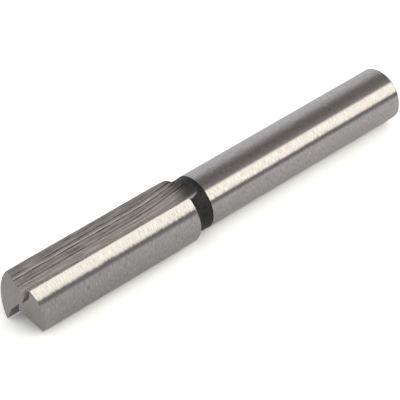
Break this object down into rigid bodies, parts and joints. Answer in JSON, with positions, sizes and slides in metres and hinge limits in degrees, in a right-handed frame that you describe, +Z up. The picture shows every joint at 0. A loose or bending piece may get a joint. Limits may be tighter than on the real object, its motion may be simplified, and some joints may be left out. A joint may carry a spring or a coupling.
{
  "type": "straight router bit",
  "caption": "Solid straight router bit: a round shank, a dark necked shoulder and a larger head with straight flutes and relieved, gashed end faces.",
  "frame": {"origin": "on the axis, where the ground shank meets the neck", "axes": "+X runs along the axis from the cutting tip to the free end of the shank, +Z is up with the bit lying on its shank and head, one flute facing down"},
  "size_m": [0.0539, 0.0076, 0.0066],
  "materials": {
    "ground_steel": "ground bright, with the neck left black"
  },
  "bodies": {
    "root": {"router_bit": "ground_steel"}
  },
  "joints": []
}
